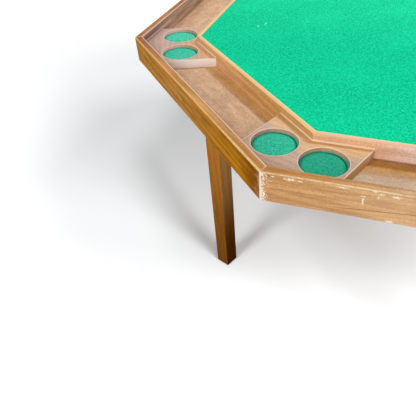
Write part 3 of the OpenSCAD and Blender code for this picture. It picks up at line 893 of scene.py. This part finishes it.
# %% Felt material
DISC_TURN = 1.7  # radians from one disc to the next, so that no two show the same fibres
DEEP_DISC, FADED_DISCS = 15, 12.5  # by their numbers; the faded ones are 12 and 13
NAP, NAP_SPREAD = 0.5015, 0.0565
LINT = [((-0.4133, -0.1160, felt_top), (2.2 * MM, 10.5 * MM, 1.0)),  # two bits, near the left corner
        ((-0.4262, -0.1335, felt_top), (2.4 * MM, 6.0 * MM, 1.0))]


def felt_cloth(name, light, dark, lint, rim=0.0, contrast=1.0):
    made, net = material(name)
    where = net.add("ShaderNodeTexCoord", out="Object")
    pushed = net.noise(where, 7.0, 3.0)
    tuft = net.noise(where, 260.0, 3.0, 0.65)
    hair = net.noise(where, 1400.0, 2.0, 0.6, stretch=(1.0, 0.35, 1.0))
    cross = net.noise(where, 1300.0, 2.0, 0.6, stretch=(0.35, 1.0, 1.0))
    nap = net.times(net.plus(hair, cross, tuft), 0.3333)
    colour = net.along(nap, dark, (NAP - NAP_SPREAD / contrast, NAP + NAP_SPREAD / contrast, light))
    colour = net.over(colour, scaled(light, 1.15), net.fade(pushed, 0.35, 0.70, 0.0, 0.16))
    speck = net.add("ShaderNodeTexVoronoi", {
        "Vector": where, "Scale": 42.0, "Randomness": 1.0}, "Distance")
    fluff = net.fade(net.plus(speck, net.times(hair, 0.03)), 0.060, 0.045)
    fluff = net.times(fluff, net.fade(net.noise(where, 9.0, 1.0), 0.62, 0.66), lint)
    colour = net.over(colour, (0.75, 0.86, 0.80), fluff)
    for middle, reach in LINT:
        thread = net.fade(net.plus(net.away(where, middle, reach), net.times(tuft, 0.8)), 1.5, 1.0)
        colour = net.over(colour, (0.13, 0.98, 0.66), thread, lint)
    # The felt is painted lighter and yellower towards the back, a painted sheen
    far_sheen = net.fade(net.parts(where)[1], -0.32, 0.20, 0.0, 0.5)
    colour = net.tint(colour, (4.0, 1.42, 1.34), far_sheen)
    if rim:
        # Some discs are more faded than others
        disc = net.attribute("disc")
        deep = net.most(net.times(net.chance(disc), 0.12), net.times(net.only(disc, DEEP_DISC), 0.40))
        colour = net.over(colour, scaled(dark, 0.6), deep)
        colour = net.tint(colour, (1.7, 1.16, 1.26), net.near(disc, FADED_DISCS, 1.4))
        # The edge is painted dark, a painted shade by the wall; on the far right side, towards the key
        # lamp, a painted highlight runs along the wall with a painted shadow line inside it
        spot = net.add("ShaderNodeVectorRotate", {
            "Vector": net.attribute("spot", "Vector"), "Angle": net.times(disc, DISC_TURN)},
            rotation_type="Z_AXIS")
        from_middle = net.plus(net.vector("LENGTH", spot), net.times(net.minus(tuft, 0.5), 0.10))
        colour = net.over(colour, scaled(dark, 0.2), net.fade(from_middle, 0.78, 1.0, 0.0, rim))
        key_side = net.fade(net.vector("DOT_PRODUCT", spot, (0.64, 0.77, 0.0)), 0.46, 0.72)
        lit_edge = net.times(net.fade(from_middle, 0.89, 0.95, 0.0, 0.85), key_side)
        shadow_line = net.times(net.near(from_middle, 0.895, 0.060), key_side, 0.75)
        colour = net.over(colour, light, lit_edge)
        colour = net.over(colour, scaled(dark, 0.25), shadow_line)
    surface(net, colour, 0.95, nap, 0.8 * MM, 0.5, Sheen_Weight=0.08, Sheen_Roughness=0.5,
            Sheen_Tint=(0.05, 1.0, 0.65, 1.0), Specular_IOR_Level=0.03)
    return made


felt_paint = felt_cloth("felt", (0.010, 0.83, 0.455), (0.001, 0.43, 0.205), 0.7)
cup_paint = felt_cloth("cup_felt", (0.070, 0.66, 0.45), (0.012, 0.38, 0.22), 0.0,
                       rim=0.75, contrast=1.25)
print("felt ready")

# %% Felt field
cloth = soften(prism("felt_field", octagon(felt_out), play_top, felt_top), 0.6 * MM)
finished(cloth, felt_paint, "table_top", "felt")
print("felt", round(8 * felt_out * felt_out * TAN, 4), "square metres")

# %% [markdown]
# ## Discs in the cup holes
# The same felt lies in every cup hole, in sixteen discs. Their places follow a rule: two for each
# corner, to the left and to the right of the corner's middle line. A Geometry Nodes tree holds
# the rule, and its inputs are the two distances that were measured above. A point's `spot` says
# where on its disc it lies, counted in the disc's radius, and the felt uses it to find the rim.

# %% Geometry Nodes: pairs at the corners
pairs, net, given = start_tree("pairs_at_the_corners", Corners="Int", First_angle="Float",
                               Distance="Float", Half_spacing="Float", Material="Material")
number = net.add("GeometryNodeInputIndex")
points = net.add("GeometryNodePoints", {"Count": net.times(given["Corners"], 2.0)})
corner = net.math("FLOOR", net.times(number, 0.5), 0.0)
hand = net.minus(net.times(net.math("MODULO", number, 2.0), 2.0), 1.0)
step = net.math("DIVIDE", math.tau, given["Corners"])
angle = net.plus(net.times(corner, step), given["First angle"])
sideways = net.times(hand, given["Half spacing"])
spot = net.add("ShaderNodeCombineXYZ", {0: given["Distance"], 1: sideways})
spot = net.add("ShaderNodeVectorRotate", {"Vector": spot, "Angle": angle}, rotation_type="Z_AXIS")
placed = net.add("GeometryNodeSetPosition", {"Geometry": points, "Position": spot})
discs = copies(net, placed, given["Geometry"], net.times(number, DISC_TURN), number, "disc")
end_tree(net, discs, given["Material"])

# %% Cup felts
thick, round_edge = cup_felt_top - cup_seat, 0.4 * MM
disc = turned("cup_felt_discs", [
    (0, 0), (disc_r, 0), (disc_r, thick - round_edge), (disc_r - round_edge, thick),
    *[(disc_r * k / 8, thick) for k in range(7, -1, -1)]], 64)
spot = disc.data.attributes.new("spot", "FLOAT_VECTOR", "POINT")
spot.data.foreach_set("vector", [c for v in disc.data.vertices
                                 for c in (v.co.x / disc_r, v.co.y / disc_r, 0.0)])
run_tree(moved(disc, Matrix.Translation((0, 0, cup_seat))), pairs, Corners=8, First_angle=FIRST_CORNER,
         Distance=cup_u, Half_spacing=cup_v, Material=cup_paint)
finished(disc, cup_paint, "table_top", "cup_felts")

# %% [markdown]
# ## Legs
# A leg is a square post that tapers a little towards the foot. At its head one shoulder is square,
# to stop against the bracket, and the other is round, to let it turn. Its outline seen from the
# side is drawn once, pulled across the leg's width, and moved to the four places that the frame's
# hinges give.

# %% Leg places
hinges = [joint["pos_m"] for joint in frame["joints"] if joint["name"].endswith("_fold")]
leg_turns = [math.atan2(y, x) for x, y, _ in hinges]
leg_r, pivot_z = math.hypot(*hinges[0][:2]), hinges[0][2]
DOME_R, DOME_H = 9.6 * MM, 4.4 * MM  # head of the coach bolt
STATION = Matrix.Translation((leg_r, 0, 0)) @ Matrix.Rotation(math.radians(135), 4, "Z")
LYING = Matrix.Rotation(math.radians(-90), 4, "X")


def leg_matrix(n):
    """From a leg's own frame, where X is the way it folds and Y is across, to the table."""
    return Matrix.Rotation(leg_turns[n], 4, "Z") @ STATION


def own_box(node):
    """Lowest and highest corner of a node of the first leg, in that leg's own frame."""
    back = leg_matrix(0).inverted()
    corners = [back @ v.co for v in frame["nodes"][node].data.vertices]
    return [Vector([pick(c[k] for c in corners) for k in range(3)]) for pick in (min, max)]


def across_at(height, shift=0.0):
    """Lays a piece drawn along Z across the leg."""
    return Matrix.Translation((0, shift, height)) @ LYING


def on_every_leg(make, title, paint, body, node, *steps):
    for n in range(4):
        made = moved(make(f"{title}_{n + 1}"), *steps, leg_matrix(n))
        finished(made, paint, f"{body}_{n + 1}", f"{node}_{n + 1}")


cheek_out = own_box("bracket_1")[1].y
clamp_z = own_box("clamp_bolt_1")[0].z + DOME_R
print("legs at", round(leg_r, 4), "m, hinges at", round(pivot_z, 4), "clamps at", round(clamp_z, 4))

# %% Leg shape
LEG_HALF, FOOT_HALF, FOOT_Z, TAPER_Z, SHOULDER = 22 * MM, 21 * MM, 2.5 * MM, 560 * MM, 23.7 * MM
FIRST_LEG_BOARD = 11  # legs come after the boards of the top, so that their grain differs too


def leg_wear_and_shade(net, place, board, colour, rough):
    x, y, z = net.parts(place)
    rub = net.noise(place, 60.0, 4.0, 0.6, stretch=(1.0, 0.4, 1.0))
    edge = net.plus(net.math("MINIMUM", net.size(x), net.size(z)), net.times(rub, 3 * MM))
    worn = net.mm_fade(edge, LEG_HALF, 0.2, 1.5)
    colour = net.over(colour, (0.62, 0.34, 0.12), worn, 0.35)
    # Darker towards the foot, and the face that looks the way the leg folds is painted darker still, a
    # painted shade for the side that the lamps leave dark
    colour = net.tint(colour, (0.37, 0.34, 0.30), net.fade(y, 0.66, 0.02))
    darker = net.along(y, (0.90, 0.86, 1.35), (0.60, 0.36, (0.97, 1.22, 2.6)),
                       (0.36, 0.05, (0.38, 0.28, 0.10)))
    return net.tint(colour, darker, net.mm_fade(x, FOOT_HALF, -1.5, -0.5)), rough


def half_width(z):
    return FOOT_HALF + (LEG_HALF - FOOT_HALF) * min(1, (z - FOOT_Z) / (TAPER_Z - FOOT_Z))


def leg_post(name):
    side = ([(-FOOT_HALF, FOOT_Z), (FOOT_HALF, FOOT_Z), (LEG_HALF, TAPER_Z), (LEG_HALF, pivot_z)]
            + arc(0, pivot_z, SHOULDER, math.degrees(math.acos(LEG_HALF / SHOULDER)), 90, 10)
            + [(-LEG_HALF, pivot_z + SHOULDER), (-LEG_HALF, TAPER_Z)])
    n = len(side)
    corners = [(x, s * half_width(z), z) for s in (-1, 1) for x, z in side]
    foot, head = (0, 1, 2, n - 1), tuple(range(2, n))
    faces = [foot, head, tuple(n + k for k in foot), tuple(n + k for k in head)]
    faces += [(k, (k + 1) % n, n + (k + 1) % n, n + k) for k in range(n)]
    bores = [moved(prism("bore", circle(0, 0, radius, 32), -30 * MM, 30 * MM), across_at(height))
             for radius, height in ((4.05 * MM, pivot_z), (4.1 * MM, clamp_z))]
    post = drilled(soften(mesh_object(name, corners, faces), 1.3 * MM, 3), joined("bores", bores))
    return give_place(post, (0, 2, 1), FIRST_LEG_BOARD - 1 + int(name[-1]))


leg_wood = wood("leg_wood", (0.48, 0.20, 0.032), (0.325, 0.122, 0.015), 0.010, 0.8, 0.55, leg_wear_and_shade,
                gloss=0.0, spread=0.24)
on_every_leg(leg_post, "leg_post", leg_wood, "folding_leg", "leg")

# %% [markdown]
# ## Metal
# Brackets are folded from zinc-plated sheet, and bolts and screws are plated too. Plating is bright
# but never a mirror: fine rolling lines along the sheet, a slight yellow cast, and duller patches
# where it has been handled.

# %% Plated metal
def plated(name, colour, dull, roughness, lines=(1.0, 1.0, 1.0)):
    made, net = material(name)
    where = net.add("ShaderNodeTexCoord", out="Object")
    drawn = net.noise(where, 900.0, 3.0, 0.6, stretch=lines)
    cloud = net.noise(where, 45.0, 4.0, 0.6)
    rough = net.fade(net.plus(net.times(drawn, 0.4), net.times(cloud, 0.6)), 0.3, 0.7,
                     roughness - 0.08, roughness + 0.14)
    mixed = net.along(cloud, colour, (0.38, 0.68, dull))
    surface(net, mixed, rough, drawn, 0.05 * MM, 0.25, Metallic=1.0)
    return made


bracket_steel = plated("bracket_steel", (0.62, 0.61, 0.57), (0.50, 0.48, 0.43), 0.36, (1.0, 1.0, 0.06))
bolt_zinc = plated("bolt_zinc", (0.68, 0.66, 0.59), (0.55, 0.52, 0.44), 0.30)
screw_zinc = plated("screw_zinc", (0.68, 0.64, 0.52), (0.56, 0.50, 0.38), 0.32)
glide_steel = plated("glide_steel", (0.66, 0.66, 0.65), (0.52, 0.51, 0.49), 0.22)
print("four plated finishes")

# %% [markdown]
# ## Turned parts and hexagons
# Bolts, nuts, washers, glides and screws are all made on a lathe, so one function turns a profile,
# a list of radius and height, round Z. A hexagon is a profile whose radius changes with the angle.
# The height of its chamfer changes with it, as if a flat cone had cut the corners, and that gives
# the arcs that every real bolt head has.

# %% Hexagons
def hexagon(name, corner_r, low, high, bore=0.0):
    """A bolt head, its chamfer at the low end, or a nut with a bore and both ends chamfered."""
    flat_r = corner_r * math.cos(math.pi / 6)
    face_r = flat_r * 0.96

    def profile(a):
        r = flat_r / math.cos((a + math.pi / 6) % (math.pi / 3) - math.pi / 6)
        cut = (r - face_r) * math.tan(math.radians(28))
        start = [(bore, low), (face_r, low), (r, low + cut)]
        if bore:
            return start + [(r, high - cut), (face_r, high), (bore, high)]
        return start + [(r, high), (0, high)]

    return turned(name, profile, 72, bool(bore))


def in_mm(points, base=0.0):
    """A profile written in millimetres, with its heights counted from base."""
    return [(r * MM, base + z * MM) for r, z in points]


print("lathe ready")

# %% [markdown]
# ## Threads
# A thread is a small three-sided ridge that climbs round a core. Geometry Nodes has both: a spiral
# for the path, and Curve to Mesh for the ridge. The pitch is 1.25 mm, as on every bolt of 8 mm.

# %% Geometry Nodes: thread
BOLT_R = 4 * MM
thread, net, given = start_tree("thread", Radius="Float", Length="Float", Pitch="Float", Ridge="Float",
                                Material="Material")
path_r = net.minus(given["Radius"], given["Ridge"])
spiral = net.add("GeometryNodeCurveSpiral", {
    "Resolution": 24, "Rotations": net.math("DIVIDE", given["Length"], given["Pitch"]),
    "Start Radius": path_r, "End Radius": path_r, "Height": given["Length"]})
level_spiral = net.add("GeometryNodeSetCurveNormal", {"Curve": spiral}, mode="Z_UP")
ridge = net.add("GeometryNodeCurvePrimitiveCircle", {"Resolution": 3, "Radius": given["Ridge"]})
swept = net.add("GeometryNodeCurveToMesh", {
    "Curve": level_spiral, "Profile Curve": ridge, "Fill Caps": True})
end_tree(net, swept, given["Material"])


def threaded(name, low, high):
    """A core with a ridge round it, from low to high along Z."""
    core = turned(name, [(0, low), (BOLT_R - 0.75 * MM, low), (BOLT_R - 0.75 * MM, high - 0.6 * MM),
                         (BOLT_R - 1.3 * MM, high), (0, high)], 32)
    ridge = mesh_object(name + "_ridge", [(0, 0, 0), (1, 0, 0), (0, 1, 0)], [(0, 1, 2)])
    run_tree(ridge, thread, Radius=BOLT_R, Length=high - low - 2.2 * MM, Pitch=1.25 * MM,
             Ridge=0.5 * MM, Material=bolt_zinc)
    return joined(name, [core, moved(ridge, Matrix.Translation((0, 0, low + 1.1 * MM)))])


# %% [markdown]
# ## Bolts and nuts
# Each leg hangs on a hinge bolt with a lock nut, and slides on a coach bolt: a domed head, a square
# neck that the slot keeps from turning, a washer and a wing nut. All are drawn along Z and then laid
# across the leg.

# %% Hinge bolts
low, high = own_box("hinge_bolt_1")
hex_r, shank_end, nut_top = high.x, cheek_out - 1 * MM, high.y - 2 * MM
hinge = joined("hinge_bolts", [
    hexagon("head", hex_r, low.y, -cheek_out),
    turned("shank", [(0, -cheek_out), (BOLT_R, -cheek_out), (BOLT_R, shank_end), (0, shank_end)], 32),
    threaded("hinge_thread", shank_end, high.y),
    hexagon("nut", hex_r, cheek_out, nut_top - 2.4 * MM, 4.05 * MM),
    turned("collar", in_mm([(4.05, -2.4), (6.2, -2.4), (6.2, -1), (5.9, -0.3), (5.3, 0), (4.05, 0)],
                           nut_top), 48, True),
])
set_round(moved(hinge, across_at(pivot_z), STATION), leg_turns[0], bolt_zinc,
          *numbered("hinge_bolt", 4), count=4)

# %% Coach bolts
low, high = own_box("clamp_bolt_1")
seat = low.y + DOME_H
ball = (DOME_R ** 2 + DOME_H ** 2) / (2 * DOME_H)
rim = math.degrees(math.asin(DOME_R / ball))


def box_between(name, low, high):
    outline = [(low[0], low[1]), (high[0], low[1]), (high[0], high[1]), (low[0], high[1])]
    return prism(name, outline, low[2], high[2])


def coach_bolt(name):
    dome = [(max(r, 0), z) for r, z in arc(0, low.y + ball, ball, -90, -90 + rim * 0.97, 10)]
    dome += [(DOME_R, seat - 0.25 * MM), (DOME_R - 0.2 * MM, seat), (0, seat)]
    neck = box_between("neck", (-BOLT_R, -BOLT_R, seat), (BOLT_R, BOLT_R, seat + 3 * MM))
    return joined(name, [
        turned("dome", dome), soften(neck, 0.3 * MM),
        turned("shank", [(0, seat), (BOLT_R, seat), (BOLT_R, cheek_out), (0, cheek_out)], 32),
        threaded("clamp_thread", cheek_out, high.y),
        turned("washer", in_mm([(4.1, 0.3), (8.9, 0.3), (9.2, 0.6), (9.2, 1.6), (8.9, 1.9), (4.1, 1.9)],
                               cheek_out), 48, True),
    ])


on_every_leg(coach_bolt, "coach_bolt", bolt_zinc, "folding_leg", "clamp_bolt", across_at(clamp_z))

# %% [markdown]
# ## Wing nuts and glides
# A wing nut is cast: a cone-shaped hub with two ears whose edges are all round. The ear is a flat
# outline with a thickness, and a generous bevel makes it feel cast. The glide under each foot is a
# nickel-plated dome with a pin.

# %% Wing nuts
nut_low, nut_high = own_box("wing_nut_1")
HUB_H, EAR_R, EAR_HALF = 9.6 * MM, 6.5 * MM, 1.3 * MM


def wing_nut(name):
    hub = turned("hub", in_mm([(4.05, 0), (7.5, 0), (8.0, 0.6), (6.8, 8.6), (6.3, 9.6), (4.6, 9.6),
                               (4.05, 9.0)]), 48, True)
    ear_end = arc(nut_high.x - EAR_R, HUB_H + 1.5 * MM, EAR_R, -50, 140, 18)
    outline = in_mm([(5, 1), (7.2, 1)]) + ear_end + in_mm([(5, 8.6)])
    ears = []
    for turn in (0.0, math.pi):
        ear = prism("ear", outline, -EAR_HALF, EAR_HALF)
        moved(ear, Matrix.Rotation(math.radians(90), 4, "X"), Matrix.Rotation(turn, 4, "Z"))
        ears.append(soften(ear, 0.85 * MM, 3))
    return joined(name, [hub] + ears)


on_every_leg(wing_nut, "wing_nut_cast", bolt_zinc, "clamp_nut", "wing_nut",
             across_at(clamp_z, nut_low.y))


# %% Glides
def glide(name):
    return turned(name, in_mm([(0, 0), (8.2, 0), (9.4, 0.12), (10.3, 0.45), (10.85, 0.95), (11, 1.4),
                               (11, 2.2), (10.7, 2.5), (1.5, 2.5), (1.5, 17.7), (0, 18.5)]))


on_every_leg(glide, "glide_dome", glide_steel, "folding_leg", "glide")

# %% [markdown]
# ## Screws
# Wood screws hold the underside together. One screw is turned, and a cross is cut into its head.
# The frame's own screws say where each one sits and how long it is. A Geometry Nodes tree then
# sets the screw on every point, each turned by its own chance amount, with a fixed seed.

# %% Geometry Nodes: screws on points
screws, net, given = start_tree("screws_on_points", Screw="Object", Seed="Int", Material="Material")
one = net.add("GeometryNodeObjectInfo", {"Object": given["Screw"]}, "Geometry")
chance = net.add("FunctionNodeRandomValue", {2: 0.0, 3: math.pi, "Seed": given["Seed"]}, 1,
                 data_type="FLOAT")
end_tree(net, copies(net, given["Geometry"], one, chance), given["Material"])


def wood_screw(length):
    body = turned("screw", in_mm([(0, -0.12), (3.8, -0.12), (4.0, 0.05), (2.0, 2.0), (2.0, length - 2),
                                  (0, length)]), 32)
    w, l = 0.5 * MM, 2.3 * MM
    cross = [(w, w), (l, w), (l, -w), (w, -w), (w, -l), (-w, -l),
             (-w, -w), (-l, -w), (-l, w), (-w, w), (-w, l), (w, l)]
    bit = prism("bit", cross, -1 * MM, 1.5 * MM)
    for v in bit.data.vertices:
        if v.co.z > 0:
            v.co.x, v.co.y = v.co.x * 0.45, v.co.y * 0.45
    return drilled(body, bit)


def islands(mesh):
    """Boxes of a mesh's loose pieces, in the order of their first corners."""
    shape = bmesh.new()
    shape.from_mesh(mesh)
    bmesh.ops.remove_doubles(shape, verts=shape.verts, dist=1e-6)
    seen, boxes = set(), []
    for start in shape.verts:
        if start in seen:
            continue
        seen.add(start)
        piece = [start]
        for vert in piece:  # the list grows as the piece is walked
            for edge in vert.link_edges:
                other = edge.other_vert(vert)
                if other not in seen:
                    seen.add(other)
                    piece.append(other)
        boxes.append([[pick(v.co[k] for v in piece) for k in range(3)] for pick in (min, max)])
    shape.free()
    return boxes


# %% Set the screws
for node in ("panel_screws", "bracket_screws"):
    groups = {}
    for lowest, highest in islands(frame["nodes"][node].data):
        head = [(lowest[k] + highest[k]) / 2 for k in (0, 1)] + [lowest[2]]
        groups.setdefault(round((highest[2] - lowest[2]) * 1000, 1), []).append(head)
    for k, (length, heads) in enumerate(sorted(groups.items())):
        screw = wood_screw(length)
        holder = mesh_object(f"{node[:-1]}_heads_{k + 1}", heads, [])
        run_tree(holder, screws, Screw=screw, Seed=7 + k, Material=screw_zinc)
        bpy.data.objects.remove(screw)
        finished(holder, screw_zinc, "table_top", node)
        print(len(heads), "screws of", length, "mm")

# %% [markdown]
# ## Battens
# Four battens under the top carry the brackets, each one butting against the next. They are planed
# but not stained, so their arrises are crisp and their wood is dull. The same tree that set the
# rails sets them, four times instead of eight.

# %% Battens
batten_wood = wood("batten_wood", (0.60, 0.38, 0.20), (0.40, 0.225, 0.10), 0.014, 0.9, 0.65)
batten = give_place(soften(box_between("battens", *own_box("batten_1")), 0.8 * MM), (1, 0, 2))
set_round(moved(batten, STATION), leg_turns[0], batten_wood, *numbered("batten", 4), count=4)

# %% [markdown]
# ## What stays as the CAD drew it
# Two layers hidden between the panels and the folded brackets have the right shape already, so
# their CAD nodes stay and only get a finish.

# %% Finish the CAD nodes
panel_wood, net = material("panel_wood")
ply = net.noise(net.add("ShaderNodeTexCoord", out="Object"), 120.0, 4.0, 0.6, stretch=(0.05, 1.0, 1.0))
plies = net.along(ply, (0.50, 0.36, 0.20), (0.35, 0.7, (0.74, 0.58, 0.38)))
surface(net, plies, 0.65, ply, 0.2 * MM, 0.3)
for paint, names in ((bracket_steel, numbered("bracket", 4)),
                     (panel_wood, ["play_panel", "panel_spacers"])):
    for name in names:
        slots = frame["nodes"][name].data.materials
        for k in range(len(slots)):
            slots[k] = paint
        if not slots:
            slots.append(paint)
    print(*names, "finished")
